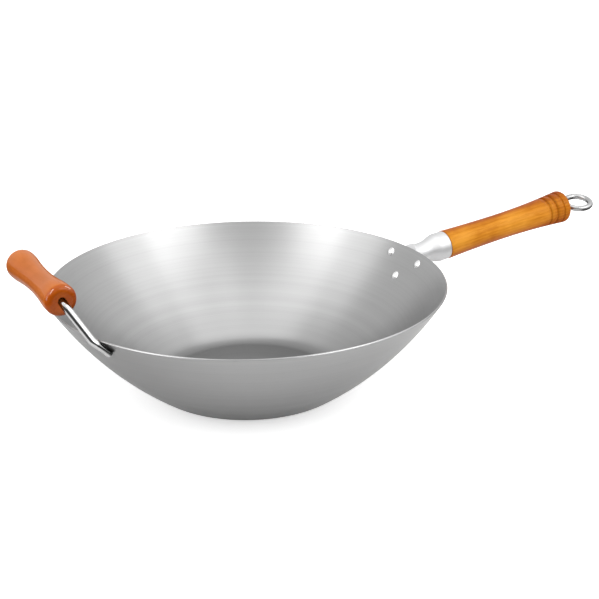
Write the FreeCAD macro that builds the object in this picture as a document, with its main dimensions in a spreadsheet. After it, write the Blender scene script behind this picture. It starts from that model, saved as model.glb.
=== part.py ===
import FreeCAD, Part
import Sketcher
import math
import os

# A flat-based wok pressed from sheet steel. A long turned wooden handle stands in a cast socket
# that three rivets hold to the wall, and a rod with a hanging eye ties it there. Opposite, a
# bent rod welded to the wall carries a wooden helper grip.
# Millimetres and degrees, +Z up, +X along the long handle. The origin is the centre of the flat
# underside. A "Drop" is measured down the outside of the wall from the rim, and an "At" along
# the long handle's line from where it crosses the rim's radius.

SIZES = {
    # bowl
    "rimRadius": 180.0,
    "bowlDepth": 98.7,
    "baseRadius": 78.2,
    "kneeRadius": 25.4,
    "wallCurve": 318.0,
    "sheetSteel": 1.5,
    # rivets
    "rivetShank": 2.5,
    "rivetHoleGap": 0.1,
    "rivetHead": 4.4,
    "rivetHeadRise": 1.9,
    "rivetTail": 4.1,
    "rivetTailRise": 1.6,
    "rivetSeatGap": 0.05,
    "rivetSpread": 45.0,
    "upperRivetDrop": 10.6,
    "lowerRivetDrop": 30.5,
    # cast socket
    "flangeThickness": 3.0,
    "flangeLobe": 8.5,
    "flangeEdge": 1.0,
    "handleBelowRim": 7.6,
    "handleTilt": 6.6,
    "rootHalfWidth": 19.0,
    "rootHalfHeight": 8.6,
    "rootAt": -12.0,
    "neckRadius": 10.3,
    "neckAt": 8.5,
    "shoulderRadius": 11.9,
    "shoulderAt": 22.0,
    "socketRadius": 14.1,
    "cupAt": 29.5,
    "cupStraightAt": 33.0,
    "socketLip": 0.8,
    "socketAt": 40.6,
    "socketDepth": 13.0,
    # long wooden handle
    "handleLength": 152.7,
    "frontProud": 0.3,
    "frontBevel": 0.6,
    "waistDip": 1.4,
    "waistFromFront": 69.0,
    "flareCurve": 860.0,
    "endRound": 4.2,
    "tenonRadius": 11.0,
    "tenonGap": 0.1,
    "tenonLength": 12.0,
    "grooveRadius": 0.9,
    "grooveDepth": 0.5,
    "frontGroove": 26.8,
    "middleGroove": 19.0,
    "rearGroove": 9.8,
    "mouthBevel": 1.5,
    # tie rod with the hanging eye
    "tieRadius": 2.9,
    "tieClearance": 0.4,
    "tieTipAt": 14.0,
    "threadRunOut": 2.0,
    "eyeNeck": 5.2,
    "eyeRadius": 13.4,
    "eyeSetDown": 2.1,
    "eyeTurn": 10.3,
    # helper handle
    "helperRadius": 3.25,
    "helperOut": 11.5,
    "helperRise": 34.6,
    "cornerHalf": 48.5,
    "cornerCurve": 14.0,
    "bendRise": 2.7,
    "bendHalf": 64.4,
    "bendCurve": 12.0,
    "bendGap": 0.3,
    "footDrop": 12.5,
    "footHalf": 70.4,
    "footHalfWidth": 4.1,
    "footHalfThick": 2.5,
    "footPress": 0.25,
    "gripHalfLength": 53.5,
    "gripRadius": 13.3,
    "gripDip": 2.6,
    "bulbFromEnd": 6.5,
    "bulbCurve": 120.0,
    "gripRound": 5.0,
    "gripClearance": 0.25,
    "slotRun": 0.7,
}

doc = FreeCAD.newDocument("Wok")
sheet = doc.addObject("Spreadsheet::Sheet", "Sizes")
for row, (name, value) in enumerate(SIZES.items(), start=1):
    sheet.set("A%d" % row, name)
    sheet.set("B%d" % row, str(value))
    sheet.setAlias("B%d" % row, name)
doc.recompute()

START, END, CENTRE = range(1, 4)            # which point of a sketched line or arc
UPRIGHT_AXIS, SKETCH_ORIGIN = range(-2, 0)
ORIGIN_POINT = (SKETCH_ORIGIN, START)
X_AXIS = FreeCAD.Vector(1, 0, 0)
Y_AXIS = FreeCAD.Vector(0, 1, 0)
Z_AXIS = FreeCAD.Vector(0, 0, 1)
FORM_RISE = 20.0            # how far the seating forms run on above the rim
OVERRUN = 1.0               # how far a cutter runs on past the face it opens
WALL_PLANE = "YZ_Plane"     # keeps the turned wall's seam away from both handles


def size(name):
    return float(sheet.get(name))


def bind(obj, **expressions):
    for prop, expression in expressions.items():
        obj.setExpression(prop, expression)
    return obj


# Sketch helpers. drive() adds a dimension that follows the sheet.

def new_body(label, placement=None):
    body = doc.addObject("PartDesign::Body", label)
    body.Label = label
    if placement:
        body.Placement = placement
    return body


def new_sketch(body, name, role="XZ_Plane"):
    sketch = body.newObject("Sketcher::SketchObject", name)
    plane = [item for item in body.Origin.OriginFeatures if item.Role == role][0]
    sketch.AttachmentSupport = (plane, [""])
    sketch.MapMode = "FlatFace"
    return sketch


def add_line(sketch, start, end):
    return sketch.addGeometry(Part.LineSegment(FreeCAD.Vector(*start), FreeCAD.Vector(*end)))


def add_arc(sketch, centre, radius, start, end):
    circle = Part.Circle(FreeCAD.Vector(*centre), Z_AXIS, radius)
    return sketch.addGeometry(Part.ArcOfCircle(circle, start, end))


def rule(sketch, kind, *where):
    sketch.addConstraint(Sketcher.Constraint(kind, *where))


def drive(sketch, name, expression, kind, *where):
    value = float(sketch.evalExpression(expression))
    index = sketch.addConstraint(Sketcher.Constraint(kind, *where, value))
    sketch.renameConstraint(index, name)
    sketch.setExpression("Constraints." + name, expression)


def add_polygon(sketch, points):
    lines = [add_line(sketch, a, b) for a, b in zip(points, points[1:])]
    for before, after in zip(lines, lines[1:]):
        rule(sketch, "Coincident", before, END, after, START)
    return lines


def revolve(body, sketch, axis, kind="PartDesign::Revolution", name="Turned"):
    feature = body.newObject(kind, name)
    feature.Profile = sketch
    feature.ReferenceAxis = (sketch, [axis])
    feature.Angle = 360
    doc.recompute()
    return feature


# The wall's outside profile: a flat base, a knee and one long arc, all tangent.

def wall_centre():
    reach = size("rimRadius") - size("baseRadius")
    rise = size("bowlDepth") - size("kneeRadius")
    span = math.hypot(reach, rise)
    inner = size("wallCurve") - size("kneeRadius")
    corner = math.acos((inner ** 2 + span ** 2 - size("wallCurve") ** 2) / (2 * inner * span))
    heading = math.atan2(rise, reach) + corner
    return (size("baseRadius") + inner * math.cos(heading),
            size("kneeRadius") + inner * math.sin(heading))


WALL_R, WALL_Z = wall_centre()
WALL_START = math.atan2(size("kneeRadius") - WALL_Z, size("baseRadius") - WALL_R)
RIM_ANGLE = math.atan2(size("bowlDepth") - WALL_Z, size("rimRadius") - WALL_R)


def wall_point(drop, standoff=0.0):
    """Radius, height and heading of the wall's outward normal, a distance below the rim."""
    angle = RIM_ANGLE - drop / size("wallCurve")
    reach = size("wallCurve") + standoff
    return WALL_R + reach * math.cos(angle), WALL_Z + reach * math.sin(angle), angle


def wall_frame(drop, azimuth=0.0):
    """A placement on the wall: Z outwards, Y up the slope, X round the bowl."""
    radius, height, angle = wall_point(drop)
    around = FreeCAD.Vector(-math.sin(azimuth), math.cos(azimuth), 0)
    outward = FreeCAD.Vector(math.cos(azimuth), math.sin(azimuth), 0)
    normal = outward * math.cos(angle) + Z_AXIS * math.sin(angle)
    slope = Z_AXIS * math.cos(angle) - outward * math.sin(angle)
    turn = FreeCAD.Rotation(around, slope, normal, "ZXY")
    return FreeCAD.Placement(outward * radius + Z_AXIS * height, turn)


def wall_profile(sketch, top_angle=RIM_ANGLE, growth=0.0):
    base = add_line(sketch, (0, -growth, 0), (size("baseRadius"), -growth, 0))
    knee_centre = (size("baseRadius"), size("kneeRadius"), 0)
    knee = add_arc(sketch, knee_centre, size("kneeRadius") + growth, -math.pi / 2, WALL_START)
    wall = add_arc(sketch, (WALL_R, WALL_Z, 0), size("wallCurve") + growth, WALL_START, top_angle)
    rule(sketch, "Horizontal", base)
    rule(sketch, "Tangent", base, END, knee, START)
    rule(sketch, "Tangent", knee, END, wall, START)
    return base, knee, wall


def outer_profile(sketch, top_angle=RIM_ANGLE):
    base, knee, wall = wall_profile(sketch, top_angle)
    rim_at = FreeCAD.Vector(size("rimRadius"), size("bowlDepth"), 0)
    rim = sketch.addGeometry(Part.Point(rim_at), True)
    rule(sketch, "Coincident", base, START, *ORIGIN_POINT)
    if top_angle == RIM_ANGLE:
        rule(sketch, "Coincident", wall, END, rim, START)
    else:
        rule(sketch, "PointOnObject", rim, START, wall)
    drive(sketch, "base", "Sizes.baseRadius", "DistanceX", *ORIGIN_POINT, base, END)
    drive(sketch, "knee", "Sizes.kneeRadius", "Radius", knee)
    drive(sketch, "wall", "Sizes.wallCurve", "Radius", wall)
    drive(sketch, "rim", "Sizes.rimRadius", "DistanceX", *ORIGIN_POINT, rim, START)
    drive(sketch, "depth", "Sizes.bowlDepth", "DistanceY", *ORIGIN_POINT, rim, START)
    return base, knee, wall


def parallel_profile(sketch, outer, growth, knee_expression, top_angle=RIM_ANGLE):
    base, knee, wall = wall_profile(sketch, top_angle, growth)
    rule(sketch, "PointOnObject", base, START, UPRIGHT_AXIS)
    rule(sketch, "Coincident", knee, CENTRE, outer[1], CENTRE)
    rule(sketch, "Coincident", wall, CENTRE, outer[2], CENTRE)
    drive(sketch, "parallelKnee", knee_expression, "Radius", knee)
    return base, knee, wall


upper_radius = wall_point(size("upperRivetDrop"))[0]
upper_azimuth = math.asin(size("rivetSpread") / 2 / upper_radius)
rivet_frames = {
    "rivet_left": wall_frame(size("upperRivetDrop"), upper_azimuth),
    "rivet_right": wall_frame(size("upperRivetDrop"), -upper_azimuth),
    "rivet_lower": wall_frame(size("lowerRivetDrop")),
}
HOLE_REACH = 12.0           # half the length of the cutter for a rivet hole


def combine(kind, name, **links):
    obj = doc.addObject(kind, name)
    for prop, value in links.items():
        setattr(obj, prop, value)
    doc.recompute()
    return obj


def make_rivet_holes():
    cutters = []
    for label, frame in rivet_frames.items():
        cutter = doc.addObject("Part::Cylinder", label + "_hole")
        bind(cutter, Radius="Sizes.rivetShank + Sizes.rivetHoleGap")
        cutter.Height = 2 * HOLE_REACH
        cutter.Placement = frame * FreeCAD.Placement(Z_AXIS * -HOLE_REACH, FreeCAD.Rotation())
        cutters.append(cutter)
    doc.recompute()
    return combine("Part::MultiFuse", "RivetHoles", Shapes=cutters)


def make_bowl(rivet_holes):
    body = new_body("pressed_bowl")
    sketch = new_sketch(body, "BowlProfile", WALL_PLANE)
    outer = outer_profile(sketch)
    thickness = size("sheetSteel")
    inner = parallel_profile(sketch, outer, -thickness, "Sizes.kneeRadius - Sizes.sheetSteel")
    reach = size("wallCurve") - thickness
    inner_rim = (WALL_R + reach * math.cos(RIM_ANGLE), WALL_Z + reach * math.sin(RIM_ANGLE), 0)
    edge = add_line(sketch, (size("rimRadius"), size("bowlDepth"), 0), inner_rim)
    axis = add_line(sketch, (0, thickness, 0), (0, 0, 0))
    rule(sketch, "Coincident", edge, START, outer[2], END)
    rule(sketch, "Coincident", edge, END, inner[2], END)
    rule(sketch, "PointOnObject", outer[2], CENTRE, edge)
    rule(sketch, "Coincident", axis, START, inner[0], START)
    rule(sketch, "Coincident", axis, END, outer[0], START)
    revolve(body, sketch, "V_Axis", name="Pressed")
    bowl = combine("Part::Cut", "WokBowl", Base=body, Tool=rivet_holes)
    bowl.Label = "wok_bowl"
    return bowl


def make_form(label, growth=0.0, knee_expression=""):
    """The bowl's outside as a solid, to seat other pieces against."""
    body = new_body(label)
    sketch = new_sketch(body, label + "Profile", WALL_PLANE)
    top = size("bowlDepth") + FORM_RISE
    top_angle = math.asin((top - WALL_Z) / (size("wallCurve") + growth))
    profile = outer_profile(sketch, top_angle if not growth else RIM_ANGLE)
    if growth:
        grown = parallel_profile(sketch, profile, growth, knee_expression, top_angle)
        for item in profile:
            sketch.setConstruction(item, True)
        profile = grown
    reach = size("wallCurve") + growth
    top_radius = WALL_R + reach * math.cos(top_angle)
    lid = add_line(sketch, (top_radius, top, 0), (0, top, 0))
    axis = add_line(sketch, (0, top, 0), (0, -growth, 0))
    rule(sketch, "Coincident", lid, START, profile[2], END)
    rule(sketch, "Coincident", axis, START, lid, END)
    rule(sketch, "Coincident", axis, END, profile[0], START)
    rule(sketch, "Horizontal", lid)
    rule(sketch, "PointOnObject", lid, END, UPRIGHT_AXIS)
    drive(sketch, "top", "Sizes.bowlDepth + %g" % FORM_RISE, "DistanceY",
          *ORIGIN_POINT, lid, END)
    revolve(body, sketch, "V_Axis", name=label + "Solid")
    return body


def make_rivet(label, frame):
    body = new_body(label, frame)
    sketch = new_sketch(body, label + "Profile")
    shank = size("rivetShank")
    seat = -size("sheetSteel") - size("rivetSeatGap")
    outside = size("flangeThickness")
    head, head_rise = size("rivetHead"), size("rivetHeadRise")
    tail, tail_rise = size("rivetTail"), size("rivetTailRise")
    head_curve = (head ** 2 + head_rise ** 2) / (2 * head_rise)
    tail_curve = (tail ** 2 + tail_rise ** 2) / (2 * tail_rise)
    head_edge = math.asin(head / head_curve)
    tail_edge = math.asin(tail / tail_curve)
    half_turn = math.pi / 2
    dome = add_arc(sketch, (0, seat - head_rise + head_curve, 0), head_curve,
                   -half_turn, -half_turn + head_edge)
    steps = add_polygon(sketch, [(head, seat, 0), (shank, seat, 0), (shank, outside, 0),
                                 (tail, outside, 0)])
    button = add_arc(sketch, (0, outside + tail_rise - tail_curve, 0), tail_curve,
                     half_turn - tail_edge, half_turn)
    axis = add_line(sketch, (0, outside + tail_rise, 0), (0, seat - head_rise, 0))
    rule(sketch, "Coincident", dome, END, steps[0], START)
    rule(sketch, "Coincident", steps[2], END, button, START)
    rule(sketch, "Coincident", button, END, axis, START)
    rule(sketch, "Coincident", axis, END, dome, START)
    for item in (steps[0], steps[2]):
        rule(sketch, "Horizontal", item)
    rule(sketch, "Vertical", steps[1])
    rule(sketch, "Vertical", axis)
    for item in (dome, button):
        rule(sketch, "PointOnObject", item, CENTRE, UPRIGHT_AXIS)
    rule(sketch, "PointOnObject", axis, START, UPRIGHT_AXIS)
    drive(sketch, "head", "Sizes.rivetHead", "DistanceX", *ORIGIN_POINT, dome, END)
    drive(sketch, "tail", "Sizes.rivetTail", "DistanceX", *ORIGIN_POINT, button, START)
    drive(sketch, "shank", "Sizes.rivetShank", "DistanceX", *ORIGIN_POINT, steps[1], START)
    drive(sketch, "outside", "Sizes.flangeThickness", "DistanceY",
          *ORIGIN_POINT, steps[1], END)
    drive(sketch, "seat", "Sizes.sheetSteel + Sizes.rivetSeatGap", "DistanceY",
          steps[1], START, *ORIGIN_POINT)
    drive(sketch, "headRise", "Sizes.rivetHeadRise", "DistanceY", dome, START, dome, END)
    drive(sketch, "tailRise", "Sizes.rivetTailRise", "DistanceY", button, START, button, END)
    revolve(body, sketch, "V_Axis", name=label + "Turned")
    return body


# The long handle's line. Its frame has X along the handle and Z up.

tilt = FreeCAD.Rotation(Y_AXIS, -size("handleTilt"))
handle_origin = FreeCAD.Vector(size("rimRadius"), 0, size("bowlDepth") - size("handleBelowRim"))
handle_frame = FreeCAD.Placement(handle_origin, tilt)
FACING_ALONG = FreeCAD.Rotation(Y_AXIS, Z_AXIS, X_AXIS, "ZXY")


def along_handle(distance, lift=0.0, facing=FreeCAD.Rotation()):
    local = FreeCAD.Placement(FreeCAD.Vector(distance, 0, lift), facing)
    return handle_frame * local


def handle_section(name, at, radius):
    circle = doc.addObject("Part::Circle", name)
    bind(circle, Radius="Sizes." + radius)
    circle.Placement = along_handle(size(at), facing=FACING_ALONG)
    return circle


def handle_cylinder(name, start, radius, length):
    cylinder = doc.addObject("Part::Cylinder", name)
    bind(cylinder, Radius=radius, Height=length)
    cylinder.Placement = along_handle(start, facing=FACING_ALONG)
    return cylinder


def round_edges(name, base, radius, wanted):
    """Fillet those edges of base whose middle point passes the test."""
    picked = []
    for number, edge in enumerate(base.Shape.Edges, start=1):
        middle = edge.valueAt((edge.FirstParameter + edge.LastParameter) / 2)
        if wanted(middle):
            picked.append((number, radius, radius))
    return combine("Part::Fillet", name, Base=base, Edges=picked)


def flange_outline():
    """A rounded triangle about the three rivets, on the wall midway between them."""
    frame = wall_frame((size("upperRivetDrop") + size("lowerRivetDrop")) / 2)
    body = new_body("flange_outline", frame)
    sketch = new_sketch(body, "FlangeOutline", "XY_Plane")
    order = ("rivet_left", "rivet_right", "rivet_lower")
    centres = [frame.inverse().multVec(rivet_frames[name].Base) for name in order]
    lobe = size("flangeLobe")
    headings = []
    for here, after in zip(centres, centres[1:] + centres[:1]):
        headings.append(math.atan2(after.y - here.y, after.x - here.x) - math.pi / 2)
    arcs, lines = [], []
    for number, here in enumerate(centres):
        after = centres[(number + 1) % 3]
        offset = FreeCAD.Vector(math.cos(headings[number]), math.sin(headings[number]), 0) * lobe
        start, end = headings[number - 1], headings[number]
        if end < start:
            end += 2 * math.pi
        arcs.append(add_arc(sketch, (here.x, here.y, 0), lobe, start, end))
        flat = FreeCAD.Vector(here.x, here.y, 0), FreeCAD.Vector(after.x, after.y, 0)
        lines.append(add_line(sketch, flat[0] + offset, flat[1] + offset))
    for number, here in enumerate(centres):
        rule(sketch, "Tangent", arcs[number], END, lines[number], START)
        rule(sketch, "Tangent", lines[number], END, arcs[(number + 1) % 3], START)
        drive(sketch, "lobe%d" % number, "Sizes.flangeLobe", "Radius", arcs[number])
        for kind, value in (("DistanceX", here.x), ("DistanceY", here.y)):
            ends = (*ORIGIN_POINT, arcs[number], CENTRE)
            if value < 0:
                ends = (arcs[number], CENTRE, *ORIGIN_POINT)
            rule(sketch, kind, *ends, abs(value))
    pad = body.newObject("PartDesign::Pad", "FlangeBlock")
    pad.Profile = sketch
    pad.Midplane = True
    bind(pad, Length="8 * Sizes.flangeThickness")
    doc.recompute()
    return body


def make_socket(outer_form, flange_form, rivet_holes):
    blank = combine("Part::MultiCommon", "FlangeBlank", Shapes=[flange_outline(), flange_form])
    face_reach = size("wallCurve") + size("flangeThickness")

    def on_outer_face(point):
        reach = math.hypot(math.hypot(point.x, point.y) - WALL_R, point.z - WALL_Z)
        return abs(reach - face_reach) < 0.01

    flange = round_edges("FlangeSoftened", blank, size("flangeEdge"), on_outer_face)
    root = doc.addObject("Part::Ellipse", "NeckRoot")
    bind(root, MajorRadius="Sizes.rootHalfWidth", MinorRadius="Sizes.rootHalfHeight")
    root.Placement = along_handle(size("rootAt"), facing=FACING_ALONG)
    sections = [
        root,
        handle_section("NeckSection", "neckAt", "neckRadius"),
        handle_section("ShoulderSection", "shoulderAt", "shoulderRadius"),
        handle_section("CupSection", "cupAt", "socketRadius"),
        handle_section("CupStraight", "cupStraightAt", "socketRadius"),
    ]
    neck = combine("Part::Loft", "Neck", Sections=sections, Solid=True, Ruled=False)
    cup = handle_cylinder("Cup", size("cupStraightAt"), "Sizes.socketRadius",
                          "Sizes.socketAt - Sizes.cupStraightAt")
    doc.recompute()
    mouth = along_handle(size("socketAt")).Base
    along = tilt.multVec(X_AXIS)
    lipped = round_edges("CupLipped", cup, size("socketLip"),
                         lambda point: abs((point - mouth).dot(along)) < 0.01)
    cast = combine("Part::MultiFuse", "Casting", Shapes=[flange, neck, lipped], Refine=True)
    seated = combine("Part::Cut", "SeatedCasting", Base=cast, Tool=outer_form)
    cavity_at = size("socketAt") - size("socketDepth")
    hole_end = size("tieTipAt") - size("threadRunOut")
    tools = [
        handle_cylinder("TenonHole", cavity_at, "Sizes.tenonRadius + Sizes.tenonGap",
                        "Sizes.socketDepth + %g" % OVERRUN),
        handle_cylinder("TappedHole", hole_end, "Sizes.tieRadius",
                        "Sizes.socketAt - Sizes.tieTipAt + Sizes.threadRunOut"),
    ]
    doc.recompute()
    holes = combine("Part::MultiFuse", "SocketHoles", Shapes=tools + [rivet_holes])
    socket = combine("Part::Cut", "HandleSocket", Base=seated, Tool=holes)
    socket.Label = "handle_socket"
    return socket


FRONT_RADIUS = "(Sizes.socketRadius + Sizes.frontProud)"
WAIST_RADIUS = "(%s - Sizes.waistDip)" % FRONT_RADIUS
GROOVES = ("frontGroove", "middleGroove", "rearGroove")


def tangent_curves(length, rise, top_curve):
    """The hollow curve's radius, and where it meets a crown of top_curve, level at both ends."""
    total = (length ** 2 + rise ** 2) / (2 * rise)
    hollow = total - top_curve
    return hollow, math.atan2(length, total - rise)


def groove_line(name):
    """How far out a groove's cutter stands, above the flare behind the waist."""
    run = "Sizes.handleLength - Sizes.%s - Sizes.waistFromFront" % name
    surface = ("%s + Sizes.flareCurve - sqrt(Sizes.flareCurve ^ 2 - (%s) ^ 2)"
               % (WAIST_RADIUS, run))
    return surface + " + Sizes.grooveRadius - Sizes.grooveDepth"


def make_long_handle():
    body = new_body("long_handle", along_handle(size("socketAt")))
    sketch = new_sketch(body, "HandleProfile")
    length, bore = size("handleLength"), size("tieRadius") + size("tieClearance")
    front = size("socketRadius") + size("frontProud")
    waist = front - size("waistDip")
    waist_at = size("waistFromFront")
    bevel, tenon, tenon_end = size("frontBevel"), size("tenonRadius"), -size("tenonLength")
    step = add_polygon(sketch, [(tenon_end, bore, 0), (tenon_end, tenon, 0), (0, tenon, 0),
                                (0, front - bevel, 0), (bevel, front, 0)])
    run = waist_at - bevel
    taper_curve = (run ** 2 + (front - waist) ** 2) / (2 * (front - waist))
    down = -math.pi / 2
    taper = add_arc(sketch, (waist_at, waist + taper_curve, 0), taper_curve,
                    down - math.asin(run / taper_curve), down)
    flare_curve, end_round = size("flareCurve"), size("endRound")
    flare_high = waist + flare_curve
    end_run = length - end_round - waist_at
    lean = math.asin(end_run / (flare_curve + end_round))
    end_flat = flare_high - (flare_curve + end_round) * math.cos(lean)
    corner = add_arc(sketch, (length - end_round, end_flat, 0), end_round, 0, lean - down)
    flares, rings = [], []
    left = down
    for name in GROOVES:
        at, out = length - size(name), float(sketch.evalExpression(groove_line(name)))
        ring_radius = size("grooveRadius")
        gap, heading = math.hypot(at - waist_at, out - flare_high), math.atan2(out - flare_high,
                                                                              at - waist_at)
        swing = math.acos((flare_curve ** 2 + gap ** 2 - ring_radius ** 2)
                          / (2 * flare_curve * gap))
        dip = math.acos((ring_radius ** 2 + gap ** 2 - flare_curve ** 2)
                        / (2 * ring_radius * gap))
        flares.append(add_arc(sketch, (waist_at, flare_high, 0), flare_curve,
                              left, heading - swing))
        rings.append(add_arc(sketch, (at, out, 0), ring_radius,
                             heading + dip - math.pi, heading + math.pi - dip))
        left = heading + swing
    flares.append(add_arc(sketch, (waist_at, flare_high, 0), flare_curve, left, down + lean))
    mouth = size("mouthBevel")
    close = add_polygon(sketch, [(length, end_flat, 0), (length, bore + mouth, 0),
                                 (length - mouth, bore, 0), (tenon_end, bore, 0)])
    rule(sketch, "Coincident", step[3], END, taper, START)
    rule(sketch, "Coincident", taper, END, flares[0], START)
    for name, before, ring, after in zip(GROOVES, flares, rings, flares[1:]):
        rule(sketch, "Coincident", before, END, ring, START)
        rule(sketch, "Coincident", ring, END, after, START)
        rule(sketch, "Coincident", after, CENTRE, flares[0], CENTRE)
        rule(sketch, "Equal", after, flares[0])
        drive(sketch, name + "At", "Sizes.handleLength - Sizes." + name, "DistanceX",
              *ORIGIN_POINT, ring, CENTRE)
        drive(sketch, name + "Out", groove_line(name), "DistanceY",
              *ORIGIN_POINT, ring, CENTRE)
        drive(sketch, name + "Radius", "Sizes.grooveRadius", "Radius", ring)
    rule(sketch, "Tangent", flares[-1], END, corner, END)
    rule(sketch, "Tangent", corner, START, close[0], START)
    rule(sketch, "Coincident", close[2], END, step[0], START)
    for item in (step[0], step[2], close[0]):
        rule(sketch, "Vertical", item)
    for item in (step[1], close[2]):
        rule(sketch, "Horizontal", item)
    rule(sketch, "PointOnObject", step[2], START, UPRIGHT_AXIS)
    rule(sketch, "Vertical", taper, CENTRE, taper, END)
    rule(sketch, "Vertical", flares[0], CENTRE, flares[0], START)
    drive(sketch, "tenonEnd", "Sizes.tenonLength", "DistanceX", step[0], START, *ORIGIN_POINT)
    drive(sketch, "bore", "Sizes.tieRadius + Sizes.tieClearance", "DistanceY",
          *ORIGIN_POINT, step[0], START)
    drive(sketch, "tenon", "Sizes.tenonRadius", "DistanceY", *ORIGIN_POINT, step[1], START)
    drive(sketch, "bevelAlong", "Sizes.frontBevel", "DistanceX", step[3], START, step[3], END)
    drive(sketch, "bevelAcross", "Sizes.frontBevel", "DistanceY", step[3], START, step[3], END)
    drive(sketch, "front", FRONT_RADIUS, "DistanceY", *ORIGIN_POINT, step[3], END)
    drive(sketch, "waistAt", "Sizes.waistFromFront", "DistanceX", *ORIGIN_POINT, taper, END)
    drive(sketch, "waist", WAIST_RADIUS, "DistanceY", *ORIGIN_POINT, taper, END)
    drive(sketch, "flare", "Sizes.flareCurve", "Radius", flares[0])
    drive(sketch, "corner", "Sizes.endRound", "Radius", corner)
    drive(sketch, "length", "Sizes.handleLength", "DistanceX", *ORIGIN_POINT, close[0], START)
    drive(sketch, "mouthAlong", "Sizes.mouthBevel", "DistanceX", close[1], END, close[1], START)
    drive(sketch, "mouthAcross", "Sizes.mouthBevel", "DistanceY", close[1], END, close[1], START)
    revolve(body, sketch, "H_Axis", name="HandleTurned")
    return body


def add_rod(body, name, start, end, radius):
    rod = body.newObject("PartDesign::AdditiveCylinder", name)
    bind(rod, Radius=radius)
    rod.Height = start.distanceToPoint(end)
    rod.Placement = FreeCAD.Placement(start, FreeCAD.Rotation(Z_AXIS, end - start))
    doc.recompute()
    return rod


def make_tie_rod():
    body = new_body("hanging_eye_rod", handle_frame)
    handle_end = size("socketAt") + size("handleLength")
    eye_at = handle_end + size("eyeNeck") + size("tieRadius") + size("eyeRadius")
    mouth = FreeCAD.Vector(handle_end, 0, 0)
    eye_near = FreeCAD.Vector(eye_at - size("eyeRadius"), 0, -size("eyeSetDown"))
    tip = FreeCAD.Vector(size("tieTipAt"), 0, 0)
    add_rod(body, "Shank", tip, mouth, "Sizes.tieRadius")
    elbow = body.newObject("PartDesign::AdditiveSphere", "Elbow")
    bind(elbow, Radius="Sizes.tieRadius")
    elbow.Placement = FreeCAD.Placement(mouth, FreeCAD.Rotation())
    doc.recompute()
    add_rod(body, "EyeNeck", mouth, eye_near, "Sizes.tieRadius")
    eye = body.newObject("PartDesign::AdditiveTorus", "Eye")
    bind(eye, Radius1="Sizes.eyeRadius", Radius2="Sizes.tieRadius")
    eye_centre = FreeCAD.Vector(eye_at, 0, -size("eyeSetDown"))
    eye.Placement = FreeCAD.Placement(eye_centre, FreeCAD.Rotation(X_AXIS, size("eyeTurn")))
    doc.recompute()
    return body


# The helper handle's points, on the +Y side. The other side mirrors them.

grip_line = FreeCAD.Vector(-size("rimRadius") - size("helperOut"), 0,
                           size("bowlDepth") + size("helperRise"))
corner_point = grip_line + Y_AXIS * size("cornerHalf")


def beside_wall(drop, standoff, half):
    radius, height, angle = wall_point(drop, standoff)
    return FreeCAD.Vector(-math.sqrt(radius ** 2 - half ** 2), half, height)


bend_point = beside_wall(-size("bendRise"), size("helperRadius") + size("bendGap"),
                         size("bendHalf"))
foot_point = beside_wall(size("footDrop"), size("footHalfThick") - size("footPress"),
                         size("footHalf"))


def rounded_corner(before, corner, after, radius):
    """The tangent points and the middle point of an arc that rounds a corner."""
    inward, outward = (before - corner).normalize(), (after - corner).normalize()
    half_angle = inward.getAngle(outward) / 2
    trim = radius / math.tan(half_angle)
    bisector = (inward + outward).normalize()
    middle = corner + bisector * (radius / math.sin(half_angle) - radius)
    return corner + inward * trim, middle, corner + outward * trim


def make_helper_rod(outer_form):
    radius = size("helperRadius")
    first = rounded_corner(grip_line, corner_point, bend_point, size("cornerCurve"))
    second = rounded_corner(corner_point, bend_point, foot_point, size("bendCurve"))
    path = Part.Wire([
        Part.LineSegment(grip_line, first[0]).toShape(),
        Part.Arc(*first).toShape(),
        Part.LineSegment(first[2], second[0]).toShape(),
        Part.Arc(*second).toShape(),
    ])
    profile = Part.Face(Part.Wire(Part.Circle(grip_line, Y_AXIS, radius).toShape()))
    round_part = path.makePipe(profile)
    along = (foot_point - second[2]).normalize()
    out = FreeCAD.Vector(foot_point.x, foot_point.y, 0).normalize()
    normal = out * math.cos(RIM_ANGLE) + Z_AXIS * math.sin(RIM_ANGLE)
    turn = FreeCAD.Rotation(FreeCAD.Vector(), normal, along, "ZYX")
    wide, thick = size("footHalfWidth"), size("footHalfThick")
    sections = []
    for share in (0.0, 0.55, 1.0):
        ellipse = Part.Ellipse(FreeCAD.Vector(), radius + (wide - radius) * share,
                               radius + (thick - radius) * share)
        section = Part.Wire(ellipse.toShape())
        centre = second[2] + (foot_point - second[2]) * share
        section.Placement = FreeCAD.Placement(centre, turn)
        sections.append(section)
    foot = Part.makeLoft(sections, True)
    half = round_part.fuse(foot)
    rod = doc.addObject("Part::Feature", "BentRod")
    rod.Shape = half.fuse(half.mirror(FreeCAD.Vector(), Y_AXIS)).removeSplitter()
    seated = combine("Part::Cut", "HelperRod", Base=rod, Tool=outer_form)
    seated.Label = "helper_rod"
    return seated


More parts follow.
